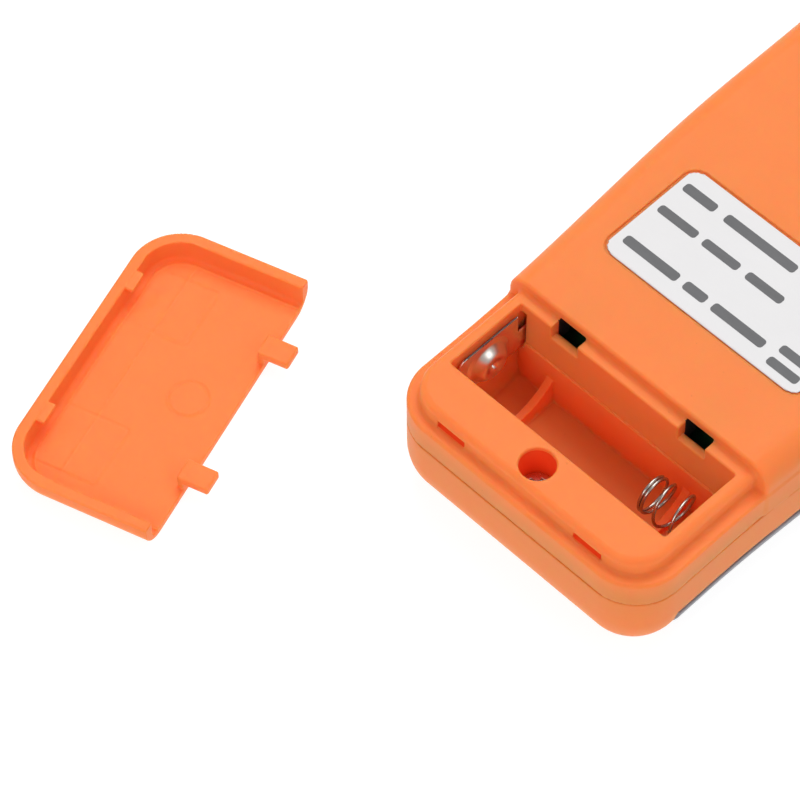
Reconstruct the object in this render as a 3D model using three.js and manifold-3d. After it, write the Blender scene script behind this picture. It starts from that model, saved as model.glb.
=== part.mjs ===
// Hand-held stud finder, lying on its front with its back up and its battery door off.
// Millimetres. +X across the case, +Y from the battery end to the sensing end, +Z up out of the back.
// The origin is the middle of the front face.
import * as THREE from 'three';
import { mergeVertices } from 'three/addons/utils/BufferGeometryUtils.js';
import Module from 'manifold-3d';

const wasm = await Module();
wasm.setup();

// Case
const LENGTH = 140;                // battery end to sensing end
const HALF_WIDTH = 19.2;           // at the battery end
const HEAD_HALF_WIDTH = 21.4;      // from the waist to the sensing end
const FLARE_START = 12;            // where the sides begin to widen, from the battery end
const FLARE_END = 58;
const THICKNESS = 17.5;            // front face to back face
const END_CORNER = 6.2;            // plan corner radius at the battery end
const HEAD_CORNER = 9;             // plan corner radius at the sensing end
const FRONT_ROUND_IN = 3.8;        // the front edge's rounding, across
const FRONT_ROUND_UP = 5.6;        // the front edge's rounding, in height
const BACK_ROUND = 3;
const PARTING = 9.8;               // height of the groove between the two halves
const GAP = 0.3;                   // clearance between neighbours
const OVERLAP = 0.5;               // how far a feature reaches into the solid that it joins
const WALL = 1.7;
const TUB_WALL = 0.9;
const LIP_OUTER = 1.0;             // the tongue of the front half, measured in from the outside
const LIP_HEIGHT = 1.05;

// Grey front bezel
const BEZEL_START = 7.0;           // from the battery end
const BEZEL_TOP = 4.3;
const BEZEL_THICK = 0.9;
const BEZEL_PROUD = 0.15;
const FRONT_CAVITY = 2.1;          // inside of the front half, measured in from the outside

// Battery end
const STEP = 19.9;                 // the raised back starts here, from the battery end
const LEDGE = 13.5;                // height of the ledge that the door's rim stands on
const PLATFORM = 16.0;             // height of the platform that the door covers
const CEILING = 12.3;              // inside of the ledge
const PLATFORM_BOX = { half: 17.6, low: 1.45, corner: 4.6, round: 0.9 };
const CELL_LOW = 7.25;             // battery compartment, from the battery end
const CELL_HIGH = 18.45;
const CELL_HALF = 16.15;
const CELL_STEP = 9.5;             // top of the thicker lower part of the compartment's far wall
const TUB_INSET = 2.4;
const FLOOR_INSET = 3.1;
const RIBS = [{ x: -11.0, top: 6.9 }, { x: 9.7, top: 6.0 }];
const RIB_HALF = 0.5;
const SADDLE = { radius: 6.9, rise: 4.4 };
const HOOK = { x: 9.5, half: 1.4, slotHalf: 1.95, slotFloor: 14.0, low: 14.4, high: 15.5, root: 18.9, tip: 22.8 };
const SLOT_DEPTH = 3.4;            // how far a hook's slot runs behind the step's face
const LATCH = { x: 10.2, half: 1.4, proud: 1.0 };
const SLIT = { half: 2.0, low: 1.0, high: 2.9, bottom: 13.6, height: 1.0 };
const END_SCREW = { y: 4.4, seat: 11.0, bore: 2.1, boss: 3.3 };
const SCREW_CLEARANCE = 1.15;      // radius of the hole that a screw's shank passes through
const CONTACT = { y: 12.8, z: 11.75, half: 0.2, low: 8.8, high: 14.7, inset: 0.45, tail: 2.3 };

// Door, and how it lies beside the case
const DOOR_END = 19.65;
const DOOR_WALL = 1.25;
const DOOR_RIM = 13.6;
const DOOR_INSIDE = 16.5;
const DOOR_X = -45.0;
const DOOR_Y = -11.24;             // from the battery end
const DOOR_TURN = THREE.MathUtils.degToRad(-72);

// Sensing end and controls
const LABEL = { low: 29.55, high: 45.1, half: 14.6, corner: 1.8, sunk: 0.3, thick: 0.15 };
const HEAD_SCREW = { x: 15, y: 132, seat: 14.2, bore: 2.3, boss: 3.6 };
const BUTTON = { y: 84, z: 11.2, length: 18, height: 4.6, proud: 0.9 };
const SLIDER = { y: 52, length: 11, width: 8, opening: 19, low: 0.35, high: 0.95, stem: 1.2 };
const WINDOW = { y: 100, length: 7, width: 24, corner: 1.2 };
const SIGHT = { width: 21, length: 4.6 };
const BOARD = { low: 22, high: 124, half: 16.2, bottom: 7.4, top: 8.4 };
const BOARD_POSTS = [[-13, 30], [13, 30], [-13, 114], [13, 114]];
const COIL = { x: 0, y: 100 };
const BUZZER = { x: -8.5, y: 62 };

const orange = { color: 0xff7a3c, roughness: 0.5, metalness: 0 };
const grey = { color: 0x6b6a70, roughness: 0.6, metalness: 0 };
const paper = { color: 0xe0dcdc, roughness: 0.45, metalness: 0 };
const nickel = { color: 0xc9c2b8, roughness: 0.25, metalness: 1 };
const copper = { color: 0xb8703c, roughness: 0.4, metalness: 1 };
const boardGreen = { color: 0x1f5a34, roughness: 0.5, metalness: 0 };
const black = { color: 0x1c1b1c, roughness: 0.55, metalness: 0 };
const clear = { color: 0xd9dde0, roughness: 0.1, metalness: 0 };
const redCable = { color: 0xa32018, roughness: 0.5, metalness: 0 };

const part = new THREE.Group();

// --- solids ---------------------------------------------------------------------------------

function toSolid(geometry) {
  const bare = geometry.index ? geometry.toNonIndexed() : geometry.clone();
  bare.deleteAttribute('normal');
  bare.deleteAttribute('uv');
  const merged = mergeVertices(bare, 1e-4);
  return new wasm.Manifold(new wasm.Mesh({
    numProp: 3,
    vertProperties: new Float32Array(merged.attributes.position.array),
    triVerts: new Uint32Array(merged.index.array),
  }));
}

function toGeometry(solid) {
  const mesh = solid.getMesh();
  const geometry = new THREE.BufferGeometry();
  geometry.setAttribute('position', new THREE.BufferAttribute(mesh.vertProperties, 3));
  geometry.setIndex(new THREE.BufferAttribute(mesh.triVerts, 1));
  geometry.computeVertexNormals();
  return geometry;
}

function addNode(name, solid, finish, parent = part) {
  const mesh = new THREE.Mesh(toGeometry(solid), new THREE.MeshStandardMaterial(finish));
  mesh.name = name;
  parent.add(mesh);
  return mesh;
}

// Distance from the battery end to the part's own Y
function fromEnd(distance) {
  return distance - LENGTH / 2;
}

// A box between two corners, with Y measured from the battery end
function box(x0, x1, y0, y1, z0, z1) {
  const geometry = new THREE.BoxGeometry(x1 - x0, y1 - y0, z1 - z0);
  geometry.translate((x0 + x1) / 2, fromEnd((y0 + y1) / 2), (z0 + z1) / 2);
  return toSolid(geometry);
}

// An upright cylinder, with Y measured from the battery end
function post(x, y, z0, z1, radius, sides = 24) {
  const geometry = new THREE.CylinderGeometry(radius, radius, z1 - z0, sides);
  geometry.rotateX(Math.PI / 2);
  geometry.translate(x, fromEnd(y), (z0 + z1) / 2);
  return toSolid(geometry);
}

// A cylinder lying along X
function bar(x0, x1, y, z, radius, sides = 24) {
  const geometry = new THREE.CylinderGeometry(radius, radius, x1 - x0, sides);
  geometry.rotateZ(Math.PI / 2);
  geometry.translate((x0 + x1) / 2, fromEnd(y), z);
  return toSolid(geometry);
}

// A slab with upright sides
function slab(shape, z0, z1) {
  const options = { depth: z1 - z0, bevelEnabled: false, curveSegments: 4 };
  const geometry = new THREE.ExtrudeGeometry(shape, options);
  geometry.translate(0, 0, z0);
  return toSolid(geometry);
}

// A slab whose upper and lower edges are rounded, inside the shape's outline
function roundedSlab(shape, z0, z1, across, up, steps) {
  const geometry = new THREE.ExtrudeGeometry(shape, {
    depth: z1 - z0 - 2 * up,
    bevelThickness: up,
    bevelSize: across,
    bevelOffset: -across,
    bevelSegments: steps,
    curveSegments: 4,
  });
  geometry.translate(0, 0, z0 + up);
  return toSolid(geometry);
}

function roundedRectangle(x0, x1, y0, y1, radius) {
  const low = fromEnd(y0);
  const high = fromEnd(y1);
  const shape = new THREE.Shape();
  shape.absarc(x1 - radius, low + radius, radius, -Math.PI / 2, 0);
  shape.absarc(x1 - radius, high - radius, radius, 0, Math.PI / 2);
  shape.absarc(x0 + radius, high - radius, radius, Math.PI / 2, Math.PI);
  shape.absarc(x0 + radius, low + radius, radius, Math.PI, 1.5 * Math.PI);
  shape.closePath();
  return shape;
}

// --- the case's outline and its two bodies ---------------------------------------------------

function halfWidth(y) {
  const flare = THREE.MathUtils.smoothstep(y, FLARE_START, FLARE_END);
  return HALF_WIDTH + (HEAD_HALF_WIDTH - HALF_WIDTH) * flare;
}

// Plan outline of the case, moved in by an inset
function caseOutline(inset) {
  const shape = new THREE.Shape();
  const endRadius = END_CORNER - inset;
  const headRadius = HEAD_CORNER - inset;
  const endX = HALF_WIDTH - END_CORNER;
  const headX = HEAD_HALF_WIDTH - HEAD_CORNER;
  const sideSteps = 6;
  const side = [];
  for (let i = 0; i <= sideSteps; i += 1) {
    side.push(FLARE_START + (FLARE_END - FLARE_START) * i / sideSteps);
  }
  shape.absarc(endX, fromEnd(END_CORNER), endRadius, -Math.PI / 2, 0);
  side.forEach((y) => shape.lineTo(halfWidth(y) - inset, fromEnd(y)));
  shape.absarc(headX, fromEnd(LENGTH - HEAD_CORNER), headRadius, 0, Math.PI / 2);
  shape.absarc(-headX, fromEnd(LENGTH - HEAD_CORNER), headRadius, Math.PI / 2, Math.PI);
  side.reverse().forEach((y) => shape.lineTo(-halfWidth(y) + inset, fromEnd(y)));
  shape.absarc(-endX, fromEnd(END_CORNER), endRadius, Math.PI, 1.5 * Math.PI);
  shape.closePath();
  return shape;
}

// The outer body with its rounded front edge, moved in by an inset, and tall enough to cut
function frontBody(inset) {
  const top = THICKNESS + 3 * FRONT_ROUND_UP;
  const steps = inset > 0 ? 3 : 4;
  return roundedSlab(caseOutline(inset), inset, top, FRONT_ROUND_IN - inset, FRONT_ROUND_UP - inset, steps);
}

// The outer body with its rounded back edge, moved in by an inset, and deep enough to cut
function backBody(inset) {
  const round = BACK_ROUND - inset;
  const steps = inset > 0 ? 1 : 3;
  return roundedSlab(caseOutline(inset), -3 * BACK_ROUND, THICKNESS - inset, round, round, steps);
}

const FAR = 200;
function below(height, fromY = -FAR, toY = FAR) {
  return box(-FAR, FAR, fromY, toY, -FAR, height);
}
function above(height, fromY = -FAR, toY = FAR) {
  return box(-FAR, FAR, fromY, toY, height, FAR);
}
function beyond(distance) {
  return box(-FAR, FAR, distance, FAR, -FAR, FAR);
}

// A box centred on x
function centredBox(x, half, y0, y1, z0, z1) {
  return box(x - half, x + half, y0, y1, z0, z1);
}

// A capsule-shaped bar along X for the scan button and the hole that it slides in
function buttonBar(x0, x1, margin) {
  const half = BUTTON.height / 2 + margin;
  const flat = (BUTTON.length - BUTTON.height) / 2;
  const shape = new THREE.Shape();
  shape.absarc(flat, 0, half, -Math.PI / 2, Math.PI / 2);
  shape.absarc(-flat, 0, half, Math.PI / 2, 1.5 * Math.PI);
  shape.closePath();
  const options = { depth: x1 - x0, bevelEnabled: false, curveSegments: 8 };
  const geometry = new THREE.ExtrudeGeometry(shape, options);
  geometry.rotateX(Math.PI / 2);
  geometry.rotateZ(Math.PI / 2);
  geometry.translate(x0, fromEnd(BUTTON.y), BUTTON.z);
  return toSolid(geometry);
}

// --- case ------------------------------------------------------------------------------------

// For each hook, a notch in the platform and a hole in the wall of the step behind it
function hookSlots() {
  const [left, right] = [-HOOK.x, HOOK.x].map((x) => (
    centredBox(x, HOOK.slotHalf, CELL_HIGH - OVERLAP, STEP + SLOT_DEPTH, HOOK.slotFloor, PLATFORM + GAP)
  ));
  return left.add(right);
}

// For each snap bump, a slit in the front of the platform, just above the ledge
function latchSlits() {
  const [left, right] = [-LATCH.x, LATCH.x].map((x) => (
    centredBox(x, SLIT.half, SLIT.low, SLIT.high, SLIT.bottom, SLIT.bottom + SLIT.height)
  ));
  return left.add(right);
}

// A cross rib in the compartment, hollowed to the round of the cell
function saddleRib({ x, top }) {
  const rib = centredBox(x, RIB_HALF, CELL_LOW - OVERLAP, CELL_HIGH + OVERLAP, FLOOR_INSET - OVERLAP, top);
  const saddle = bar(x - WALL, x + WALL, CONTACT.y, top + SADDLE.rise, SADDLE.radius, 36);
  return rib.subtract(saddle);
}

// The raised block that the door covers, with its upper edge rounded, reaching into the step
function platformBlock() {
  const { half, low, corner, round } = PLATFORM_BOX;
  const outline = roundedRectangle(-half, half, low, STEP + 2 * corner, corner);
  const block = roundedSlab(outline, CEILING - 2 * round, PLATFORM, round, round, 3);
  return block.subtract(beyond(STEP + 1)).subtract(below(CEILING + OVERLAP));
}

// The compartment's walls and floor, and the space inside them
function tubWalls() {
  const outer = box(-CELL_HALF - TUB_WALL, CELL_HALF + TUB_WALL, CELL_LOW - TUB_WALL, CELL_HIGH + TUB_WALL,
    0, PLATFORM - 2 * PLATFORM_BOX.round);
  return outer.intersect(frontBody(TUB_INSET));
}
function cellSpace() {
  const space = box(-CELL_HALF, CELL_HALF, CELL_LOW, CELL_HIGH, 0, THICKNESS);
  return space.intersect(frontBody(FLOOR_INSET));
}
function farWallStep() {
  const thick = 0.3;
  const step = box(-CELL_HALF - OVERLAP, CELL_HALF + OVERLAP, CELL_HIGH - thick, CELL_HIGH + OVERLAP,
    FLOOR_INSET, CELL_STEP);
  return step.intersect(frontBody(TUB_INSET));
}

// The way out of the compartment for the tail of a contact plate
function contactSlot(side) {
  const x = side * (CELL_HALF - CONTACT.inset);
  return centredBox(x, CONTACT.inset, CELL_HIGH - OVERLAP, CELL_HIGH + TUB_WALL + GAP,
    CONTACT.low - GAP, CONTACT.high - 0.1);
}

function labelRecess() {
  const margin = 0.25;
  const outline = roundedRectangle(-LABEL.half - margin, LABEL.half + margin,
    LABEL.low - margin, LABEL.high + margin, LABEL.corner + margin);
  return slab(outline, THICKNESS - LABEL.sunk, THICKNESS + 1);
}

function backShell() {
  const bottom = PARTING + GAP / 2;
  const inside = backBody(WALL).subtract(above(CEILING, -FAR, STEP + WALL));
  let shell = backBody(0).subtract(below(bottom)).subtract(above(LEDGE, -FAR, STEP)).subtract(inside);
  shell = shell.subtract(slab(caseOutline(LIP_OUTER - GAP), 0, PARTING + LIP_HEIGHT + GAP));
  shell = shell.add(platformBlock()).add(tubWalls());
  shell = shell.add(post(0, END_SCREW.y, bottom, CEILING + OVERLAP, END_SCREW.boss));
  shell = shell.subtract(cellSpace()).add(farWallStep());
  RIBS.forEach((rib) => {
    shell = shell.add(saddleRib(rib));
  });
  shell = shell.subtract(post(0, END_SCREW.y, END_SCREW.seat, THICKNESS, END_SCREW.bore, 36));
  shell = shell.subtract(post(0, END_SCREW.y, 0, THICKNESS, SCREW_CLEARANCE));
  shell = shell.subtract(hookSlots()).subtract(latchSlits());
  [-1, 1].forEach((side) => {
    const x = side * HEAD_SCREW.x;
    shell = shell.subtract(contactSlot(side));
    shell = shell.add(post(x, HEAD_SCREW.y, bottom, THICKNESS - 1, HEAD_SCREW.boss));
    shell = shell.subtract(post(x, HEAD_SCREW.y, HEAD_SCREW.seat, THICKNESS + 1, HEAD_SCREW.bore));
    shell = shell.subtract(post(x, HEAD_SCREW.y, 0, THICKNESS, SCREW_CLEARANCE));
  });
  return shell.subtract(labelRecess()).subtract(buttonBar(WALL, 2 * HALF_WIDTH, GAP));
}

// The tongue of the front half, which stands inside the back half
function frontLip() {
  const low = PARTING - 2.5 * GAP;
  const ring = slab(caseOutline(LIP_OUTER), low, PARTING + LIP_HEIGHT);
  const screwNotch = centredBox(0, END_SCREW.boss + 3 * GAP, -1, END_SCREW.boss - GAP, 0, THICKNESS);
  return ring.subtract(slab(caseOutline(WALL), 0, THICKNESS)).subtract(screwNotch);
}

// The posts under the board and the bosses that the screws go into
function frontPosts() {
  const top = PARTING - GAP / 2;
  const foot = WALL;
  let posts = post(0, END_SCREW.y, foot, top, WALL);
  BOARD_POSTS.forEach(([x, y]) => {
    posts = posts.add(post(x, y, foot, BOARD.bottom - GAP, 1.8, 16));
  });
  [-1, 1].forEach((side) => {
    posts = posts.add(post(side * HEAD_SCREW.x, HEAD_SCREW.y, foot, top, HEAD_SCREW.boss - 1));
  });
  return posts.intersect(frontBody(FRONT_CAVITY - 2 * GAP));
}

function frontShell() {
  const bezelZone = below(BEZEL_TOP + GAP, BEZEL_START - GAP).subtract(frontBody(BEZEL_THICK + GAP));
  const blindHole = 2.6;
  const faceCut = 4;
  let shell = frontBody(0).subtract(above(PARTING - GAP / 2)).subtract(bezelZone);
  shell = shell.subtract(frontBody(FRONT_CAVITY)).subtract(slab(caseOutline(WALL), 6.5, THICKNESS));
  shell = shell.add(frontLip()).add(frontPosts());
  shell = shell.subtract(post(0, END_SCREW.y, blindHole, THICKNESS, SCREW_CLEARANCE));
  [-1, 1].forEach((side) => {
    const x = side * HEAD_SCREW.x;
    shell = shell.subtract(post(x, HEAD_SCREW.y, blindHole, THICKNESS, SCREW_CLEARANCE));
  });
  const stemSlot = centredBox(0, SLIDER.stem + 0.5, SLIDER.y - 4, SLIDER.y + 4, -1, faceCut);
  const sight = centredBox(0, SIGHT.width / 2, WINDOW.y - SIGHT.length / 2, WINDOW.y + SIGHT.length / 2,
    -1, faceCut);
  return shell.subtract(stemSlot).subtract(sight).subtract(buttonBar(WALL, 2 * HALF_WIDTH, GAP));
}

function frontBezel() {
  const skin = frontBody(-BEZEL_PROUD).subtract(frontBody(BEZEL_THICK));
  const batteryEnd = below(THICKNESS, -FAR, BEZEL_START);
  const bezel = skin.subtract(above(BEZEL_TOP)).subtract(below(0)).subtract(batteryEnd);
  const track = centredBox(0, SLIDER.width / 2 + 0.5, SLIDER.y - SLIDER.opening / 2,
    SLIDER.y + SLIDER.opening / 2, -1, BEZEL_TOP);
  const opening = roundedRectangle(-WINDOW.width / 2 - GAP, WINDOW.width / 2 + GAP,
    WINDOW.y - WINDOW.length / 2 - GAP, WINDOW.y + WINDOW.length / 2 + GAP, WINDOW.corner + GAP);
  return bezel.subtract(track).subtract(slab(opening, -1, BEZEL_TOP));
}

// --- battery door, built as it sits on the case, then laid upside down beside it --------------

function batteryDoor() {
  const zone = box(-FAR, FAR, -1, DOOR_END, DOOR_RIM, THICKNESS + 1);
  const open = STEP + 2 * END_CORNER;
  const outline = roundedRectangle(-HALF_WIDTH, HALF_WIDTH, 0, open, END_CORNER);
  const tray = roundedRectangle(-HALF_WIDTH + DOOR_WALL, HALF_WIDTH - DOOR_WALL, DOOR_WALL, open,
    END_CORNER - DOOR_WALL);
  let door = backBody(0).intersect(zone).intersect(slab(outline, 0, THICKNESS + 1));
  door = door.subtract(slab(tray, 0, DOOR_INSIDE));
  [-1, 1].forEach((side) => {
    const hookX = side * HOOK.x;
    const foot = centredBox(hookX, HOOK.half, HOOK.root, DOOR_END, HOOK.low, DOOR_INSIDE + GAP);
    const hook = centredBox(hookX, HOOK.half, HOOK.root, HOOK.tip, HOOK.low, HOOK.high);
    const bump = centredBox(side * LATCH.x, LATCH.half, DOOR_WALL - GAP, DOOR_WALL + LATCH.proud,
      DOOR_RIM, DOOR_RIM + SLIT.height / 2);
    door = door.add(foot).add(hook).add(bump);
  });
  return door;
}

const layDoor = new THREE.Group();
layDoor.position.set(DOOR_X, fromEnd(DOOR_Y), THICKNESS);
layDoor.rotation.set(0, Math.PI, DOOR_TURN, 'ZYX');
part.add(layDoor);

// --- contacts --------------------------------------------------------------------------------

// A sprung contact plate that reaches through the corner of the compartment
function contactPlate(side) {
  const x = side * (CELL_HALF - CONTACT.inset);
  const end = CELL_HIGH + CONTACT.tail;
  const plate = centredBox(x, CONTACT.half, CELL_LOW + TUB_WALL, end, CONTACT.low, CONTACT.high);
  return plate.subtract(centredBox(x, 1, CELL_HIGH - TUB_WALL, end + 1, CEILING - GAP, PLATFORM));
}

function positiveContact() {
  const rim = [[0, -0.2], [3.0, -0.2], [3.0, 0.15], [2.6, 0.9]];
  const dimple = [[1.9, 1.3], [1.2, 1.1], [0.5, 0.6], [0, 0.55]];
  const points = [...rim, ...dimple].map(([r, h]) => new THREE.Vector2(r, h));
  const boss = new THREE.LatheGeometry(points, 24);
  boss.rotateZ(-Math.PI / 2);
  boss.translate(-CELL_HALF + CONTACT.inset + CONTACT.half / 2, fromEnd(CONTACT.y), CONTACT.z);
  return contactPlate(-1).add(toSolid(boss));
}

// Centre line of the negative spring: close turns at the tip, then open turns that widen to the base
class SpringCurve extends THREE.Curve {
  constructor(x0, x1, r0, r1, turns, startTurn) {
    super();
    Object.assign(this, { x0, x1, r0, r1, turns, startTurn });
  }

  getPoint(t) {
    const angle = 2 * Math.PI * (this.startTurn + this.turns * t);
    const radius = this.r0 + (this.r1 - this.r0) * t;
    return new THREE.Vector3(
      this.x0 + (this.x1 - this.x0) * t,
      fromEnd(CONTACT.y) + radius * Math.cos(angle),
      CONTACT.z + radius * Math.sin(angle),
    );
  }
}

function wire(curve, radius, sides, steps) {
  const section = new THREE.Shape();
  for (let i = 0; i < sides; i += 1) {
    const angle = 2 * Math.PI * i / sides;
    const x = radius * Math.cos(angle);
    const y = radius * Math.sin(angle);
    if (i === 0) {
      section.moveTo(x, y);
    } else {
      section.lineTo(x, y);
    }
  }
  section.closePath();
  return toSolid(new THREE.ExtrudeGeometry(section, { steps, bevelEnabled: false, extrudePath: curve }));
}

// --- electronics -----------------------------------------------------------------------------

// A turned piece standing on Z, from a profile of radius and height
function turned(profile, x, y, z, sides = 24) {
  const geometry = new THREE.LatheGeometry(profile.map(([r, h]) => new THREE.Vector2(r, h)), sides);
  geometry.rotateX(Math.PI / 2);
  geometry.translate(x, fromEnd(y), z);
  return toSolid(geometry);
}

function mainBoard() {
  const outline = roundedRectangle(-BOARD.half, BOARD.half, BOARD.low, BOARD.high, 2);
  const edgeNotch = centredBox(-BOARD.half, 3, 60, 66, 0, THICKNESS);
  return slab(outline, BOARD.bottom, BOARD.top).subtract(edgeNotch);
}

// Everything on the board stands a little above it
const ON_BOARD = BOARD.top + GAP;

function chip(x, y, width, length, legs) {
  let body = centredBox(x, width / 2, y - length / 2, y + length / 2, ON_BOARD, ON_BOARD + 1.5);
  for (let i = 0; i < legs; i += 1) {
    const legY = y - length / 2 + (i + 0.5) * length / legs;
    body = body.add(centredBox(x, width / 2 + 1.1, legY - 0.2, legY + 0.2, ON_BOARD, ON_BOARD + 0.3));
  }
  return body;
}

function buzzer() {
  const profile = [[0, 0], [6, 0], [6, 3.2], [1, 3.2], [1, 2.2], [0, 2.2]];
  return turned(profile, BUZZER.x, BUZZER.y, ON_BOARD, 32);
}

function coilBobbin() {
  const hub = [[6.5, 0], [11, 0], [11, 0.6], [7.6, 0.6]];
  const rim = [[7.6, 4.0], [11, 4.0], [11, 4.6], [6.5, 4.6], [6.5, 0]];
  return turned([...hub, ...rim], COIL.x, COIL.y, ON_BOARD);
}

function searchCoil() {
  const profile = [[7.9, 0.9], [10.6, 0.9], [10.6, 3.7], [7.9, 3.7], [7.9, 0.9]];
  return turned(profile, COIL.x, COIL.y, ON_BOARD);
}

function led(x) {
  const profile = [[0, 0], [1.1, 0.4], [1.5, 1.3], [1.5, 3.2], [1.8, 3.2], [1.8, 3.9], [0, 3.9]];
  return turned(profile, x, WINDOW.y, 3.2, 16);
}

function caseScrew(x, y, seat, length) {
  const rest = seat + 0.1;
  const headHeight = 0.95;
  const head = turned([[0, 0], [1.85, 0], [1.85, 0.55], [1.3, headHeight], [0, headHeight]], x, y, rest, 20);
  const shank = post(x, y, rest - length, rest + 0.2, 0.95, 12);
  const crossBottom = rest + headHeight - 0.5;
  const crossTop = rest + headHeight + 1;
  const along = centredBox(x, 1.0, y - 0.22, y + 0.22, crossBottom, crossTop);
  const across = centredBox(x, 0.22, y - 1.0, y + 1.0, crossBottom, crossTop);
  return head.add(shank).subtract(along).subtract(across);
}

// --- controls --------------------------------------------------------------------------------

function scanButton() {
  const flangeInner = 18.3;
  const flangeOuter = 19.2;
  const cap = buttonBar(flangeInner + 0.2, HEAD_HALF_WIDTH + BUTTON.proud, 0);
  const edge = { along: BUTTON.length / 2 + 1.2, up: BUTTON.height / 2 + 0.8 };
  const flange = box(flangeInner, flangeOuter, BUTTON.y - edge.along, BUTTON.y + edge.along,
    BUTTON.z - edge.up, BUTTON.z + edge.up);
  const nose = bar(flangeInner - 0.6, flangeInner + GAP, BUTTON.y, BUTTON.z, 1.4, 16);
  return cap.add(flange).add(nose);
}

function scanSwitchBody() {
  const body = box(12.3, 15.8, BUTTON.y - 3, BUTTON.y + 3, ON_BOARD, BUTTON.z + 3);
  return body.subtract(bar(13.4, 17, BUTTON.y, BUTTON.z, 1.9, 20));
}

function modeSlider() {
  const { y, length, width, low, high, stem } = SLIDER;
  const groovePitch = 1.8;
  const cap = centredBox(0, width / 2, y - length / 2, y + length / 2, low, high);
  let slider = cap.add(centredBox(0, stem, y - stem, y + stem, low + 0.25, 4.6));
  for (let i = -2; i <= 2; i += 1) {
    const grooveY = y + groovePitch * i;
    slider = slider.subtract(centredBox(0, width / 2 - 1, grooveY - GAP, grooveY + GAP, 0, low + 0.2));
  }
  return slider;
}

function modeSwitchBody() {
  const body = centredBox(0, 3.2, SLIDER.y - 6, SLIDER.y + 6, 3.2, BOARD.bottom - GAP);
  return body.subtract(centredBox(0, SLIDER.stem + GAP, SLIDER.y - 3.6, SLIDER.y + 3.6, 3, 5.0));
}

// --- assembly --------------------------------------------------------------------------------

addNode('back_shell', backShell(), orange);
addNode('front_shell', frontShell(), orange);
addNode('front_bezel', frontBezel(), grey);

const door = addNode('battery_door', batteryDoor(), orange, layDoor);
door.position.y = LENGTH / 2 - DOOR_END / 2;

const labelShape = roundedRectangle(-LABEL.half, LABEL.half, LABEL.low, LABEL.high, LABEL.corner);
const labelBottom = THICKNESS - LABEL.sunk + 0.05;
addNode('rating_label', slab(labelShape, labelBottom, labelBottom + LABEL.thick), paper);

addNode('positive_contact', positiveContact(), nickel);
addNode('spring_contact_plate', contactPlate(1), nickel);
addNode('battery_spring_tip', wire(new SpringCurve(9.2, 10.1, 2.2, 2.25, 1.55, 0.1), 0.24, 6, 26), nickel);
addNode('battery_spring', wire(new SpringCurve(10.65, 14.9, 2.3, 3.3, 2.0, 0.65), 0.24, 6, 48), nickel);

addNode('case_screw_end', caseScrew(0, END_SCREW.y, END_SCREW.seat, 6.5), nickel);
addNode('case_screw_left', caseScrew(-HEAD_SCREW.x, HEAD_SCREW.y, HEAD_SCREW.seat, 9), nickel);
addNode('case_screw_right', caseScrew(HEAD_SCREW.x, HEAD_SCREW.y, HEAD_SCREW.seat, 9), nickel);

addNode('main_board', mainBoard(), boardGreen);
addNode('controller_chip', chip(5, 72, 7.5, 11, 8), black);
addNode('amplifier_chip', chip(-6, 82, 4, 5, 4), black);
addNode('buzzer', buzzer(), black);
addNode('search_coil_bobbin', coilBobbin(), black);
addNode('search_coil', searchCoil(), copper);
addNode('sensor_plate_left', slab(roundedRectangle(-17, -1, 88, 118, 1), 14.6, 15.0), copper);
addNode('sensor_plate_right', slab(roundedRectangle(1, 17, 88, 118, 1), 14.6, 15.0), copper);
for (let i = 0; i < 5; i += 1) {
  addNode(`indicator_led_${i + 1}`, led(-8 + 4 * i), clear);
}
const windowShape = roundedRectangle(-WINDOW.width / 2, WINDOW.width / 2, WINDOW.y - WINDOW.length / 2,
  WINDOW.y + WINDOW.length / 2, WINDOW.corner);
addNode('indicator_window', slab(windowShape, 0.2, 0.9), clear);

addNode('scan_button', scanButton(), grey);
addNode('scan_switch_body', scanSwitchBody(), black);
addNode('scan_switch_plunger', bar(14.6, 17.4, BUTTON.y, BUTTON.z, 1.6, 20), paper);
addNode('mode_slider', modeSlider(), black);
addNode('mode_switch_body', modeSwitchBody(), nickel);

// The two leads from the contact plates to the board
[-1, 1].forEach((side) => {
  const x = side * (CELL_HALF - CONTACT.inset);
  const route = new THREE.CatmullRomCurve3([
    new THREE.Vector3(x, fromEnd(21.0), 11.0),
    new THREE.Vector3(x, fromEnd(22.4), 11.0),
    new THREE.Vector3(x - side * 0.8, fromEnd(24.2), 10.4),
    new THREE.Vector3(x - side * 1.6, fromEnd(25.2), 9.4),
    new THREE.Vector3(x - side * 1.6, fromEnd(25.2), ON_BOARD),
  ]);
  const name = side < 0 ? 'battery_lead_positive' : 'battery_lead_negative';
  addNode(name, wire(route, 0.55, 8, 14), side < 0 ? redCable : black);
});

export default part;
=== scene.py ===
"""Stud finder on its front, back up, with its battery door beside it: the looks around the CAD frame.

Solids are written as distance fields in millimetres: x across, e from the battery end, z up.
A field is below zero inside the solid. mesh_field() turns one into a mesh, and every edge is a fillet.
"""
import math

import bmesh
import bpy
import numpy as np
from mathutils import Matrix, Vector


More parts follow.
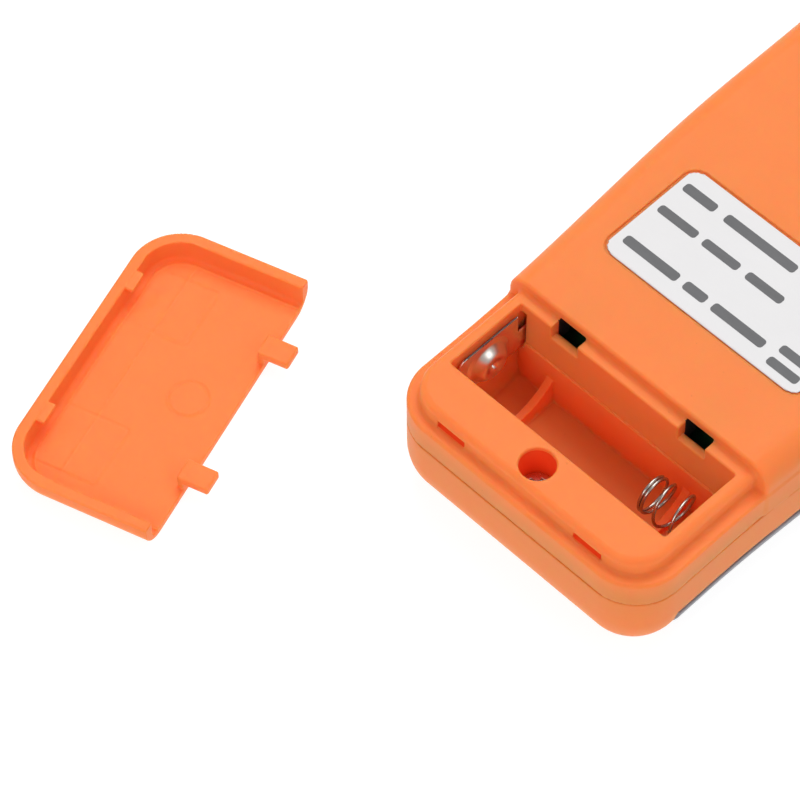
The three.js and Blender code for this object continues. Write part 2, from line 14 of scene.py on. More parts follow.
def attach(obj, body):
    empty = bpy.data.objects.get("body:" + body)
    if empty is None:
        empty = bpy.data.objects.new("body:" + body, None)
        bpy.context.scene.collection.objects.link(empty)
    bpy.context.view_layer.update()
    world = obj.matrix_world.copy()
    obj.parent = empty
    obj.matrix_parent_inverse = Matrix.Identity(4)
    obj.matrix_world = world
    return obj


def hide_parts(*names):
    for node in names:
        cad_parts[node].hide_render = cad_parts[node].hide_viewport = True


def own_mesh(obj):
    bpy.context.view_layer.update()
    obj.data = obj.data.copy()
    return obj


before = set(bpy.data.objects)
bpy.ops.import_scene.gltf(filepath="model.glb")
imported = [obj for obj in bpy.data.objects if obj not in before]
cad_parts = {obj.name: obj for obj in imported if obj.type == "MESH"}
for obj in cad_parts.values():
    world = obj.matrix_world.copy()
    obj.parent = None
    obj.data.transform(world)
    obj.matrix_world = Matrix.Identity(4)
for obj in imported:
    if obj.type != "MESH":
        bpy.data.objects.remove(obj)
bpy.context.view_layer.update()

MM = 0.001
BATTERY_END = -70.0                # the part's own Y at the battery end

# Case, in millimetres
LENGTH = 140.0
HALF_WIDTH = 19.2
HEAD_HALF_WIDTH = 21.4
FLARE = (12.0, 58.0)               # e where the sides start and stop widening
THICKNESS = 17.5
END_CORNER = 6.2
HEAD_CORNER = 9.0
FRONT_ROUND = (3.8, 5.6)           # across, and in height
BACK_ROUND = 3.0
PARTING = 9.8
GAP = 0.3                          # clearance between neighbours
SEAM = 0.14                        # the open line between the two halves
WALL = 1.7
LIP_OUTER = 1.0                    # the front half's tongue, in from the outside
LIP_HEIGHT = 1.05
SIDE_START = 6.5                   # from this height up the front half's wall is upright
ABOVE = 30.0                       # a height well above the case
BELOW = -5.0                       # and one well below it
FAR = 40.0                         # past everything at the battery end, along or across
BEZEL_START = 7.0
BEZEL_TOP = 4.3
BEZEL_THICK = 0.9
BEZEL_PROUD = 0.15
FRONT_CAVITY = 2.1
STANDS = {"x": 13.0, "e": (30.0, 114.0), "radius": 1.8, "top": 7.1}
END_POST = 1.7
HEAD_POST = 2.6
POST_FOOT = 1.7                    # height where the posts inside the front start
BLIND_HOLE = 2.6                   # height where a screw's hole ends
TONGUE_GAP = 4.2                   # half the gap in the tongue at the end screw
STEM_SLOT = (1.7, 4.0)             # half sizes of the openings under the slider
LIGHT_SLOT = (10.5, 2.3)           # and under the window

# Radii of moulded edges
SHARP = 0.05
CRISP = 0.1
SOFT = 0.2
ROUND = 0.3

# Battery end
STEP = 19.9
STEP_ROUND = 0.45
LEDGE = 13.5
LEDGE_ROUND = 0.4
FOOT_ROUND = 0.45
PLATFORM = 16.0
PLATFORM_HALF = 17.6
PLATFORM_LOW = 1.45
PLATFORM_CORNER = 4.6
PLATFORM_ROUND = 0.9
PLATFORM_UNDER = 12.0              # how far it runs in under the raised back
CEILING = 12.3                     # height of the ledge's underside
CELL_LOW = 7.25                    # e of the compartment's near wall
CELL_HIGH = 18.45                  # and of its far wall
CELL_HALF = 16.15
CELL_STEP = 9.5                    # height up to which the far wall is thicker
CELL_CORNER = 0.35
TUB_WALL = 0.9
TUB_CORNER = 0.5
TUB_DROP = 1.8                     # from the platform down to the tub walls' top
TUB_INSET = 2.4
FLOOR_INSET = 3.1
RIBS = ((-11.0, 6.9), (9.8, 6.4))  # x, height of the top
RIB_HALF = 0.5
SADDLE_RADIUS = 6.9
SADDLE_RISE = 4.4                  # from a rib's top up to the saddle's axis
MARGIN = 0.3                       # how far a cut or a block runs past the face it starts at
HOOK_X = 9.5
HOOK = (18.9, 22.8)                # e of the hook's root and tip
HOOK_HALF = 1.4
HOOK_HEIGHTS = (14.4, 15.5)
HOOK_FOOT_TOP = 16.8
SLOT_HALF = 1.95
SLOT_LIP = 19.5                    # e where a hook slot opens into the case
SLOT_DEPTH = 3.4                   # how far it runs behind the step
SLOT_FLOOR = 14.0
LATCH_X = 10.2
SLIT_HALF = 2.0
SLIT = ((0.9, 4.9), (13.6, 14.6))  # e and height of a latch slit
END_SCREW = (0.0, 4.4, 11.0)       # x, e, seat
END_BORE = 2.1
END_BOSS = 3.3
HEAD_SCREW = (15.0, 132.0, 14.2)
HEAD_BORE = 2.3
HEAD_BOSS = 3.6
SHANK_HOLE = 1.15
SCREW = {"head_radius": 1.85, "head_height": 0.95, "cross": (0.2, 0.95), "shank_radius": 0.88,
         "thread": 0.09, "pitch": 0.75}
END_SCREW_LENGTH = 6.4
HEAD_SCREW_LENGTH = 8.9

# Contacts and spring
CONTACT = (12.6, 11.4)             # e, z of the contacts' middle
CONTACT_X = 15.7
TAIL_SLOTS = ((-1, 14.6), (1, 12.3))  # side, top of the opening for a contact's tail
TAIL_HALF = 0.45
TAIL_REACH = 1.2
SHEET_THICK = 0.2
SHEET_LOW = 8.8
SHEET_END = 2.3                    # how far a tail runs past the compartment's far wall
SHEET_CORNER = 1.2
TAIL_TOP = 12.0
POSITIVE_TOP = 14.9
NEGATIVE_TOP = 13.0
BOSS_RADIUS = 3.2
BOSS_HEIGHT = 1.4
SPRING_WIRE = 0.19
SPRING_START = 9.3                 # x of the free end
SPRING_JOINT = 9.95                # x where the moving end meets the pressed turns

# Door, and how it lies
DOOR_END = 19.65
DOOR_OPEN = 60.0                   # e well past the door's open side
DOOR_WALL = 1.4
DOOR_RIM = 13.6
DOOR_INSIDE = 16.5
DOOR_PLACE = (-45.0, -11.24)       # x, e of its middle
DOOR_TURN = math.radians(-72)
BUMP_HALF = 1.4
EJECTOR_MARK = {"x": 0.2, "e": 14.2, "radius": 2.35}
INSERT_MARK = ((6.5, 14.8), (2.2, 10.3))
RIDGE_MARK = 6.2
DIMPLE_MARK = (3.4, 1.6, 1.1)      # e, half sizes, under each latch bump

# Back, side and front; a middle or a thickness here is in height
LABEL = {"low": 29.55, "high": 45.1, "half": 14.6, "corner": 1.8, "middle": 17.325, "thick": 0.15}
PRINT_HEIGHTS = (17.3, 17.42)
RECESS_DEPTH = 0.3
RECESS_MARGIN = 0.25
BUTTON = {"e": 84.0, "z": 11.2, "length": 18.0, "height": 4.6, "proud": 0.9, "back": 18.5,
          "ridge": 0.12, "pitch": 2.2}
FLANGE = ((18.3, 19.2), 10.2, 3.1)  # x, half length, half height
NOSE = {"radius": 1.4, "x": 18.15, "half": 0.45}
SLIDER = {"e": 52.0, "length": 11.0, "width": 8.0, "corner": 0.8, "middle": 0.65, "half": 0.3,
          "opening": 19.0}
STEM = (1.2, (0.6, 4.6))           # half width, heights
GROOVES = {"pitch": 1.8, "half": 0.3, "reach": 3.0, "floor": 0.55}
WINDOW = {"e": 100.0, "length": 7.0, "width": 24.0, "corner": 1.2, "middle": 0.55, "half": 0.35}


# --- distance fields --------------------------------------------------------------------------

def join(a, b, r):
    """Both solids together, with a fillet of radius r where they meet."""
    return np.maximum(r, np.minimum(a, b)) - np.sqrt(np.maximum(r - a, 0) ** 2 + np.maximum(r - b, 0) ** 2)


def both(a, b, r):
    """What two solids share, with its edge rounded to radius r."""
    return np.minimum(-r, np.maximum(a, b)) + np.sqrt(np.maximum(r + a, 0) ** 2 + np.maximum(r + b, 0) ** 2)


def carve(a, b, r):
    """The first solid without the second, with the new edge rounded to radius r."""
    return both(a, -b, r)


def span(middle, half):
    """From a half width below a middle to a half width above it."""
    return middle - half, middle + half


def plate(x, e, xs, es, corner):
    """An endless upright prism over a rectangle with round corners."""
    qx = abs(x - (xs[0] + xs[1]) / 2) - (xs[1] - xs[0]) / 2 + corner
    qe = abs(e - (es[0] + es[1]) / 2) - (es[1] - es[0]) / 2 + corner
    outside = np.sqrt(np.maximum(qx, 0) ** 2 + np.maximum(qe, 0) ** 2)
    return outside + np.minimum(np.maximum(qx, qe), 0) - corner


def block(x, e, z, xs, es, zs, r=0.1):
    """A box between two corners, with round edges."""
    qx = abs(x - (xs[0] + xs[1]) / 2) - (xs[1] - xs[0]) / 2 + r
    qe = abs(e - (es[0] + es[1]) / 2) - (es[1] - es[0]) / 2 + r
    qz = abs(z - (zs[0] + zs[1]) / 2) - (zs[1] - zs[0]) / 2 + r
    outside = np.sqrt(np.maximum(qx, 0) ** 2 + np.maximum(qe, 0) ** 2 + np.maximum(qz, 0) ** 2)
    return outside + np.minimum(np.maximum(np.maximum(qx, qe), qz), 0) - r


def post(x, e, z, centre, radius, zs, r=0.1):
    """An upright cylinder with a round edge at each end."""
    wall = np.sqrt((x - centre[0]) ** 2 + (e - centre[1]) ** 2) - radius
    return both(wall, abs(z - (zs[0] + zs[1]) / 2) - (zs[1] - zs[0]) / 2, r)


def outline(x, e):
    """The case's plan outline as an endless prism."""
    t = np.clip((e - FLARE[0]) / (FLARE[1] - FLARE[0]), 0, 1)
    half = HALF_WIDTH + (HEAD_HALF_WIDTH - HALF_WIDTH) * t * t * (3 - 2 * t)
    corner = np.where(e < LENGTH / 2, END_CORNER, HEAD_CORNER)
    qx = abs(x) - half + corner
    qe = abs(e - LENGTH / 2) - LENGTH / 2 + corner
    outside = np.sqrt(np.maximum(qx, 0) ** 2 + np.maximum(qe, 0) ** 2)
    return outside + np.minimum(np.maximum(qx, qe), 0) - corner


def front_body(x, e, z, inset):
    """The outer body with its rounded front edge, moved in by an inset."""
    across = FRONT_ROUND[0] - inset
    up = FRONT_ROUND[1] - inset
    u = np.maximum(outline(x, e) + inset + across, 0) / across
    v = np.maximum(up + inset - z, 0) / up
    return (np.sqrt(u * u + v * v) - 1) * across


def back_body(x, e, z, inset):
    """The outer body with its rounded back edge, moved in by an inset."""
    r = BACK_ROUND - inset
    return both(outline(x, e) + inset, z - THICKNESS + inset, r)


def button_bar(e, z, margin):
    """The scan button's section as an endless bar along x."""
    flat = (BUTTON["length"] - BUTTON["height"]) / 2
    along = np.maximum(abs(e - BUTTON["e"]) - flat, 0)
    return np.sqrt(along ** 2 + (z - BUTTON["z"]) ** 2) - BUTTON["height"] / 2 - margin


def pair(function, x):
    """A feature and its mirror image: the nearer of the two."""
    return function(abs(x))


# --- the case's two halves and its bezel --------------------------------------------------------

def battery_tub(x, e, z):
    """The compartment's walls, before its space is taken out."""
    walls = plate(x, e, span(0, CELL_HALF + TUB_WALL), (CELL_LOW - TUB_WALL, CELL_HIGH + TUB_WALL),
                  TUB_CORNER)
    return both(both(walls, z - PLATFORM + TUB_DROP, CRISP), front_body(x, e, z, TUB_INSET), ROUND)


def battery_space(x, e, z):
    """The open space of the compartment, whose floor follows the case's front edge."""
    mouth = plate(x, e, span(0, CELL_HALF), (CELL_LOW, CELL_HIGH), CELL_CORNER)
    return both(mouth, front_body(x, e, z, FLOOR_INSET), 0.4)


def compartment_step(x, e, z):
    """The thicker lower part of the compartment's far wall."""
    step = block(x, e, z, span(0, CELL_HALF + MARGIN), (CELL_HIGH - MARGIN, CELL_HIGH + 0.5),
                 (FLOOR_INSET - MARGIN, CELL_STEP))
    return both(step, front_body(x, e, z, TUB_INSET), CRISP)


def saddle_rib(x, e, z, at, top):
    """A rib across the compartment's floor, hollowed to the battery's round."""
    rib = block(x, e, z, span(at, RIB_HALF), (CELL_LOW - 0.5, CELL_HIGH + 0.5), (FLOOR_INSET - 0.5, top),
                0.12)
    saddle = np.sqrt((e - CONTACT[0]) ** 2 + (z - top - SADDLE_RISE) ** 2) - SADDLE_RADIUS
    return carve(rib, saddle, 0.12)


def without_door_holds(body, x, e, z):
    """Takes out the door's hook slots and latch slits."""
    mouth = pair(lambda m: block(m, e, z, span(HOOK_X, SLOT_HALF), (CELL_HIGH - 0.5, STEP + SLOT_DEPTH),
                                 (SLOT_FLOOR, PLATFORM + MARGIN)), x)
    body = carve(body, mouth, 0.12)
    slot = pair(lambda m: block(m, e, z, span(HOOK_X, SLOT_HALF), (SLOT_LIP, STEP + SLOT_DEPTH),
                                (11, PLATFORM + 0.2)), x)
    body = carve(body, slot, 0.06)
    slit = pair(lambda m: block(m, e, z, span(LATCH_X, SLIT_HALF), *SLIT, 0.04), x)
    return carve(body, slit, 0.04)


def back_case(x, e, z):
    """The back half: the raised back, the door's platform, the compartment, and their openings."""
    side = outline(x, e)
    raised = both(back_body(x, e, z, 0), STEP - e, STEP_ROUND)
    body = join(raised, both(side, z - LEDGE, LEDGE_ROUND), FOOT_ROUND)
    footing = plate(x, e, span(0, PLATFORM_HALF), (PLATFORM_LOW, STEP + PLATFORM_UNDER), PLATFORM_CORNER)
    body = join(body, both(footing, z - PLATFORM, PLATFORM_ROUND), FOOT_ROUND)
    bottom = PARTING + SEAM / 2
    body = both(body, bottom - z, CRISP)
    hollow = np.minimum(
        both(back_body(x, e, z, WALL), STEP + WALL - e, ROUND),
        both(side + WALL, z - CEILING, ROUND),
    )
    body = carve(body, hollow, CRISP)
    body = carve(body, both(side + LIP_OUTER - GAP, z - bottom - LIP_HEIGHT - GAP, CRISP), CRISP)
    body = join(body, battery_tub(x, e, z), CRISP)
    body = join(body, post(x, e, z, END_SCREW[:2], END_BOSS, (bottom, CEILING + 0.5)), CRISP)
    body = carve(body, battery_space(x, e, z), 0.22)
    body = join(body, compartment_step(x, e, z), 0.08)
    for at, top in RIBS:
        body = join(body, saddle_rib(x, e, z, at, top), 0.25)
    body = carve(body, post(x, e, z, END_SCREW[:2], END_BORE, (END_SCREW[2], ABOVE), SOFT), SOFT)
    body = carve(body, post(x, e, z, END_SCREW[:2], SHANK_HOLE, (BELOW, ABOVE)), CRISP)
    body = without_door_holds(body, x, e, z)
    for way, top in TAIL_SLOTS:
        tail = block(way * x, e, z, span(CONTACT_X, TAIL_HALF), (CELL_HIGH - 0.5, CELL_HIGH + TAIL_REACH),
                     (SHEET_LOW - MARGIN, top))
        body = carve(body, tail, 0.06)
    boss = pair(lambda m: post(m, e, z, HEAD_SCREW[:2], HEAD_BOSS, (bottom, THICKNESS - 1)), x)
    body = join(body, boss, CRISP)
    bore = pair(lambda m: post(m, e, z, HEAD_SCREW[:2], HEAD_BORE, (HEAD_SCREW[2], ABOVE)), x)
    body = carve(body, bore, ROUND)
    hole = pair(lambda m: post(m, e, z, HEAD_SCREW[:2], SHANK_HOLE, (BELOW, ABOVE)), x)
    body = carve(body, hole, CRISP)
    recess = plate(x, e, span(0, LABEL["half"] + RECESS_MARGIN),
                   (LABEL["low"] - RECESS_MARGIN, LABEL["high"] + RECESS_MARGIN),
                   LABEL["corner"] + RECESS_MARGIN)
    body = carve(body, both(recess, THICKNESS - RECESS_DEPTH - z, SHARP), CRISP)
    return carve(body, both(button_bar(e, z, GAP), WALL - x, CRISP), SOFT)


def front_case(x, e, z):
    """The front half: a tray with the tongue, the screw posts and the board's stands."""
    side = outline(x, e)
    top = PARTING - SEAM / 2
    body = both(front_body(x, e, z, 0), z - top, CRISP)
    bezel_seat = both(both(z - BEZEL_TOP - GAP, BEZEL_START - GAP - e, CRISP),
                      -front_body(x, e, z, BEZEL_THICK + GAP), CRISP)
    body = carve(body, bezel_seat, 0.12)
    body = carve(body, front_body(x, e, z, FRONT_CAVITY), CRISP)
    body = carve(body, both(side + WALL, SIDE_START - z, CRISP), CRISP)
    tongue = both(both(side + LIP_OUTER, abs(z - PARTING) - LIP_HEIGHT, CRISP), -side - WALL, CRISP)
    tongue = carve(tongue, block(x, e, z, span(0, TONGUE_GAP), (-1, 3), (0, ABOVE)), SHARP)
    body = join(body, tongue, SHARP)
    floor = front_body(x, e, z, FRONT_CAVITY - 2 * GAP)
    end_post = post(x, e, z, END_SCREW[:2], END_POST, (POST_FOOT, top))
    body = join(body, both(end_post, floor, CRISP), SOFT)
    head_posts = pair(lambda m: post(m, e, z, HEAD_SCREW[:2], HEAD_POST, (POST_FOOT, top)), x)
    body = join(body, both(head_posts, floor, CRISP), ROUND)
    for at in STANDS["e"]:
        stand = pair(lambda m: post(m, e, z, (STANDS["x"], at), STANDS["radius"],
                                    (POST_FOOT, STANDS["top"])), x)
        body = join(body, both(stand, floor, CRISP), ROUND)
    body = carve(body, post(x, e, z, END_SCREW[:2], SHANK_HOLE, (BLIND_HOLE, ABOVE)), CRISP)
    hole = pair(lambda m: post(m, e, z, HEAD_SCREW[:2], SHANK_HOLE, (BLIND_HOLE, ABOVE)), x)
    body = carve(body, hole, CRISP)
    stem_slot = plate(x, e, span(0, STEM_SLOT[0]), span(SLIDER["e"], STEM_SLOT[1]), SOFT)
    body = carve(body, stem_slot + 0 * z, CRISP)
    light_slot = plate(x, e, span(0, LIGHT_SLOT[0]), span(WINDOW["e"], LIGHT_SLOT[1]), 0.4)
    body = carve(body, light_slot + 0 * z, CRISP)
    return carve(body, both(button_bar(e, z, GAP), WALL - x, CRISP), SOFT)


def front_bezel(x, e, z):
    """The thin grey face plate, with the slider's track and the window's opening."""
    body = both(front_body(x, e, z, -BEZEL_PROUD), -front_body(x, e, z, BEZEL_THICK), CRISP)
    body = both(both(body, z - BEZEL_TOP, 0.15), -z, SHARP)
    body = both(body, BEZEL_START - e, 0.15)
    track = plate(x, e, span(0, SLIDER["width"] / 2 + 0.5), span(SLIDER["e"], SLIDER["opening"] / 2), 1)
    body = carve(body, track + 0 * z, 0.25)
    sight = plate(x, e, span(0, WINDOW["width"] / 2 + GAP), span(WINDOW["e"], WINDOW["length"] / 2 + GAP),
                  WINDOW["corner"] + GAP)
    return carve(body, sight + 0 * z, SOFT)


# --- the battery door, as it sits on the case ---------------------------------------------------

def groove(distance, depth, width):
    """A shallow witness line along a curve where distance is zero."""
    return depth * np.exp(-(distance / width) ** 2)


def floor_marks(x, e, tray):
    """What the mould left on the door's floor: a ring, two inserts' edges, a ridge and two dimples."""
    ring = np.sqrt((x - EJECTOR_MARK["x"]) ** 2 + (e - EJECTOR_MARK["e"]) ** 2) - EJECTOR_MARK["radius"]
    insert = pair(lambda m: plate(m, e, *INSERT_MARK, ROUND), x)
    lines = groove(ring, 0.11, 0.16) + groove(insert, 0.08, 0.16) + groove(tray + 0.95, -0.16, 0.18)
    lines = lines + groove(e - RIDGE_MARK, -0.05, 0.16)
    at, half_x, half_e = DIMPLE_MARK
    from_dimple = pair(lambda m: np.sqrt(((m - LATCH_X) / half_x) ** 2 + ((e - at) / half_e) ** 2), x)
    return lines + groove(from_dimple, 0.2, 0.8)


def battery_door(x, e, z):
    """A tray with two hooks at its open side and two snap bumps on the far wall."""
    body = both(plate(x, e, span(0, HALF_WIDTH), (0, DOOR_OPEN), END_CORNER), z - THICKNESS, BACK_ROUND)
    body = both(both(body, DOOR_RIM - z, 0.16), e - DOOR_END, 0.14)
    tray = plate(x, e, span(0, HALF_WIDTH - DOOR_WALL), (DOOR_WALL, DOOR_OPEN), END_CORNER - DOOR_WALL)
    body = carve(body, both(tray, z - DOOR_INSIDE, 0.45), 0.12)
    foot = pair(lambda m: block(m, e, z, span(HOOK_X, HOOK_HALF), (HOOK[0], DOOR_END),
                                (HOOK_HEIGHTS[0], HOOK_FOOT_TOP), SOFT), x)
    hook = pair(lambda m: block(m, e, z, span(HOOK_X, HOOK_HALF), HOOK, HOOK_HEIGHTS, 0.22), x)
    bump = pair(lambda m: block(m, e, z, span(LATCH_X, BUMP_HALF), (DOOR_WALL - 0.3, DOOR_WALL + 1.0),
                                (DOOR_RIM + 0.03, DOOR_RIM + 0.55), 0.12), x)
    body = join(join(body, join(foot, hook, SOFT), 0.15), bump, CRISP)
    on_floor = np.exp(-((z - DOOR_INSIDE) / 0.35) ** 2)
    return body + on_floor * floor_marks(x, e, tray)


def door_to_part(points):
    """Moves the door from its place on the case to where it lies, inside up."""
    about = (points - [0, DOOR_END / 2, 0]) * [-1, 1, -1]
    c, s = math.cos(DOOR_TURN), math.sin(DOOR_TURN)
    turned = np.stack([c * about[:, 0] - s * about[:, 1], s * about[:, 0] + c * about[:, 1], about[:, 2]], 1)
    return turned + [DOOR_PLACE[0], DOOR_PLACE[1], THICKNESS]


# --- controls, contacts and fasteners ------------------------------------------------------------

def scan_button(x, e, z):
    """The side button: a ridged oval key, a flange that keeps it in the case, and a nose for the switch."""
    face = HEAD_HALF_WIDTH + BUTTON["proud"]
    wave = np.cos(2 * math.pi * (e - BUTTON["e"]) / BUTTON["pitch"])
    ridge = BUTTON["ridge"] * wave * np.exp(-((e - BUTTON["e"]) / 5) ** 4)
    body = both(button_bar(e, z, 0), x - face - ridge + BUTTON["ridge"], 0.6)
    body = both(body, BUTTON["back"] - x, CRISP)
    flange_x, half_e, half_z = FLANGE
    flange = block(x, e, z, flange_x, span(BUTTON["e"], half_e), span(BUTTON["z"], half_z), 0.15)
    rod = np.sqrt((e - BUTTON["e"]) ** 2 + (z - BUTTON["z"]) ** 2) - NOSE["radius"]
    nose = both(rod, abs(x - NOSE["x"]) - NOSE["half"], CRISP)
    return join(join(body, flange, CRISP), nose, CRISP)


def mode_slider(x, e, z):
    """The slide switch's cap, with five finger grooves and a stem."""
    top = plate(x, e, span(0, SLIDER["width"] / 2), span(SLIDER["e"], SLIDER["length"] / 2), SLIDER["corner"])
    cap = both(top, abs(z - SLIDER["middle"]) - SLIDER["half"], 0.12)
    half, heights = STEM
    body = join(cap, block(x, e, z, span(0, half), span(SLIDER["e"], half), heights, CRISP), CRISP)
    for i in range(-2, 3):
        at = SLIDER["e"] + GROOVES["pitch"] * i
        cut = block(x, e, z, span(0, GROOVES["reach"]), span(at, GROOVES["half"]),
                    (-1, GROOVES["floor"]), CRISP)
        body = carve(body, cut, 0.08)
    return body


def contact_sheet(x, e, z, top):
    """A contact plate with a round upper corner and a tail through the compartment's far corner."""
    sheet = both(abs(x) - CONTACT_X - 0.02, CONTACT_X - SHEET_THICK - abs(x), 0.04)
    face = plate(e, z, (CELL_LOW + TUB_WALL, FAR), (SHEET_LOW, top), SHEET_CORNER)
    face = both(face, e - CELL_HIGH - SHEET_END, SOFT)
    over_tail = block(x, e, z, span(0, FAR), (CELL_HIGH - TUB_WALL, FAR), (TAIL_TOP, ABOVE), ROUND)
    return both(sheet, carve(face, over_tail, SOFT), 0.04)


def positive_contact(x, e, z):
    """The plate at the positive end, with a round boss that has a dimple in its middle."""
    sheet = both(contact_sheet(x, e, z, POSITIVE_TOP), x, 0)
    rho = np.sqrt((e - CONTACT[0]) ** 2 + (z - CONTACT[1]) ** 2)
    shoulder = np.exp(-(np.maximum(rho - 1.3, 0) / 1.25) ** 2.6)
    height = BOSS_HEIGHT * shoulder - 0.35 * np.exp(-(rho / 1.1) ** 2) - 0.45 * np.exp(-(rho / 0.4) ** 2)
    dome = both((x + CONTACT_X - 0.15 - height) * 0.75, rho - BOSS_RADIUS, CRISP)
    return join(sheet, both(dome, -CONTACT_X - 0.1 - x, SHARP), 0.25)


def spring_plate(x, e, z):
    """The plate at the negative end, which the spring stands on."""
    return both(contact_sheet(x, e, z, NEGATIVE_TOP), -x, 0)


def screw(x, e, z, seat, length):
    """A cross-recess screw standing on z, at x = e = 0."""
    rho = np.sqrt(x ** 2 + e ** 2)
    rest = seat + 0.1
    under_crown = z - rest - SCREW["head_height"] + 0.09 * rho ** 2
    head = both(both(rho - SCREW["head_radius"], under_crown, 0.12), rest - z, CRISP)
    deep = rest + 0.42 + 0.22 * rho
    wide, long = SCREW["cross"]
    cross = np.minimum(both(abs(x) - wide, abs(e) - long, SHARP), both(abs(e) - wide, abs(x) - long, SHARP))
    head = carve(head, both(cross, deep - z, SHARP), SHARP)
    thread = SCREW["thread"] * np.cos(2 * math.pi * z / SCREW["pitch"] - np.arctan2(e, x))
    shank = both(rho - SCREW["shank_radius"] - thread, abs(z - rest + length / 2) - length / 2 - 0.1, CRISP)
    return join(head, shank, CRISP)


# --- meshing ---------------------------------------------------------------------------------

CORNERS = [(i, j, k) for i in (0, 1) for j in (0, 1) for k in (0, 1)]
CELL_EDGES = [(a, b) for a in CORNERS for b in CORNERS
              if a < b and sum(abs(p - q) for p, q in zip(a, b)) == 1]


def stations(*spans):
    """Grid positions: each span is (start, end, spacing), and a span starts where the last one ended."""
    out = [np.array([spans[0][0]])]
    for start, end, spacing in spans:
        out.append(np.linspace(start, end, max(2, round((end - start) / spacing) + 1))[1:])
    return np.concatenate(out)


def net_vertices(values, active, axes):
    """One point per cell that the surface crosses: the middle of its edges' crossings."""
    total = np.zeros((len(active), 3))
    count = np.zeros(len(active))
    value = {c: values[tuple((active + c).T)] for c in CORNERS}
    place = {c: np.stack([axes[n][active[:, n] + c[n]] for n in range(3)], 1) for c in CORNERS}
    for a, b in CELL_EDGES:
        crossed = (value[a] < 0) != (value[b] < 0)
        t = np.where(crossed, value[a] / np.where(crossed, value[a] - value[b], 1), 0)
        total += np.where(crossed[:, None], place[a] + (place[b] - place[a]) * t[:, None], 0)
        count += crossed
    return total / count[:, None]


def net_faces(inside, number):
    """One four-sided face per grid edge that the surface crosses."""
    faces = []
    for n in range(3):
        u, v = ((1, 2), (2, 0), (0, 1))[n]
        low = [slice(1, -1)] * 3
        low[n] = slice(0, -1)
        high = list(low)
        high[n] = slice(1, None)
        start, end = inside[tuple(low)], inside[tuple(high)]
        offset = np.ones(3, int)
        offset[n] = 0
        for crossed, order in ((start & ~end, 1), (end & ~start, -1)):
            at = np.argwhere(crossed) + offset
            ring = []
            for du, dv in ((1, 1), (0, 1), (0, 0), (1, 0)):
                cell = at.copy()
                cell[:, u] -= du
                cell[:, v] -= dv
                ring.append(number[tuple(cell.T)])
            faces.append(np.stack(ring[::order], 1))
    return np.concatenate(faces)


def slope(field, points, reach=0.02):
    """The field's gradient at each point."""
    columns = []
    for n in range(3):
        step = np.zeros(3)
        step[n] = reach
        ahead, behind = (points + step).T, (points - step).T
        columns.append((field(*ahead) - field(*behind)) / (2 * reach))
    return np.stack(columns, 1)


def flat_faces_joined(points, quads, patch):
    """The same surface with its level areas as few large faces, in triangles, and each one's patch number."""
    work = bmesh.new()
    mesh = bpy.data.meshes.new("work")
    fill_mesh(mesh, points, quads)
    tiles = np.floor(points[quads[:, 0]] / TILE).astype(np.int32).sum(1) % 2
    if patch is not None:
        tiles = tiles + 2 * patch(*points[quads].mean(1).T)
    mesh.polygons.foreach_set("material_index", tiles.astype(np.int32))
    work.from_mesh(mesh)
    bmesh.ops.dissolve_limit(work, angle_limit=FLAT_ANGLE, verts=work.verts, edges=work.edges,
                             delimit={"MATERIAL"})
    bmesh.ops.triangulate(work, faces=work.faces)
    work.to_mesh(mesh)
    work.free()
    kept = np.empty(len(mesh.vertices) * 3)
    mesh.vertices.foreach_get("co", kept)
    corners = np.empty(len(mesh.loops), np.int32)
    mesh.loops.foreach_get("vertex_index", corners)
    kinds = np.empty(len(mesh.polygons), np.int32)
    mesh.polygons.foreach_get("material_index", kinds)
    bpy.data.meshes.remove(mesh)
    return kept.reshape(-1, 3), corners.reshape(-1, 3), kinds // 2


def mesh_field(name, field, axes, place=None, patch=None):
    """Builds an object from a field on a grid; place moves its points, and patch numbers its areas."""
    grids = [a.astype(np.float32) for a in axes]
    values = np.asarray(field(grids[0][:, None, None], grids[1][None, :, None], grids[2][None, None, :]))
    values = np.broadcast_to(values, [len(a) for a in axes])
    inside = values < 0
    mixed = np.zeros([len(a) - 1 for a in axes], np.uint8)
    for c in CORNERS:
        mixed += inside[tuple(slice(k, k - 1 or None) for k in c)]
    active = np.argwhere((mixed > 0) & (mixed < 8))
    number = np.full(mixed.shape, -1, np.int32)
    number[tuple(active.T)] = np.arange(len(active))
    points = net_vertices(values, active, axes)
    quads = net_faces(inside, number)
    limit = 0.5 * max(min(np.diff(a)) for a in axes)
    for _ in range(3):
        g = slope(field, points)
        move = g * (field(*points.T) / np.maximum((g * g).sum(1), 0.05))[:, None]
        size = np.linalg.norm(move, axis=1, keepdims=True)
        points = points - move * np.minimum(1, limit / np.maximum(size, 1e-9))
    points, faces, kinds = flat_faces_joined(points, quads, patch)
    normals = slope(field, points)
    normals /= np.maximum(np.linalg.norm(normals, axis=1, keepdims=True), 1e-9)
    if place is not None:
        normals = place(points + normals) - place(points)
        points = place(points)
    made = mesh_object(name, points, faces, normals)
    made.data.polygons.foreach_set("material_index", kinds)
    return made


def fill_mesh(mesh, points, faces):
    """Puts points and faces that all have the same number of corners into an empty mesh."""
    count, sides = faces.shape
    mesh.vertices.add(len(points))
    mesh.vertices.foreach_set("co", points.astype(np.float32).ravel())
    mesh.loops.add(count * sides)
    mesh.loops.foreach_set("vertex_index", faces.astype(np.int32).ravel())
    mesh.polygons.add(count)
    mesh.polygons.foreach_set("loop_start", np.arange(0, count * sides, sides, dtype=np.int32))
    mesh.polygons.foreach_set("use_smooth", np.ones(count, bool))
    mesh.update(calc_edges=True)


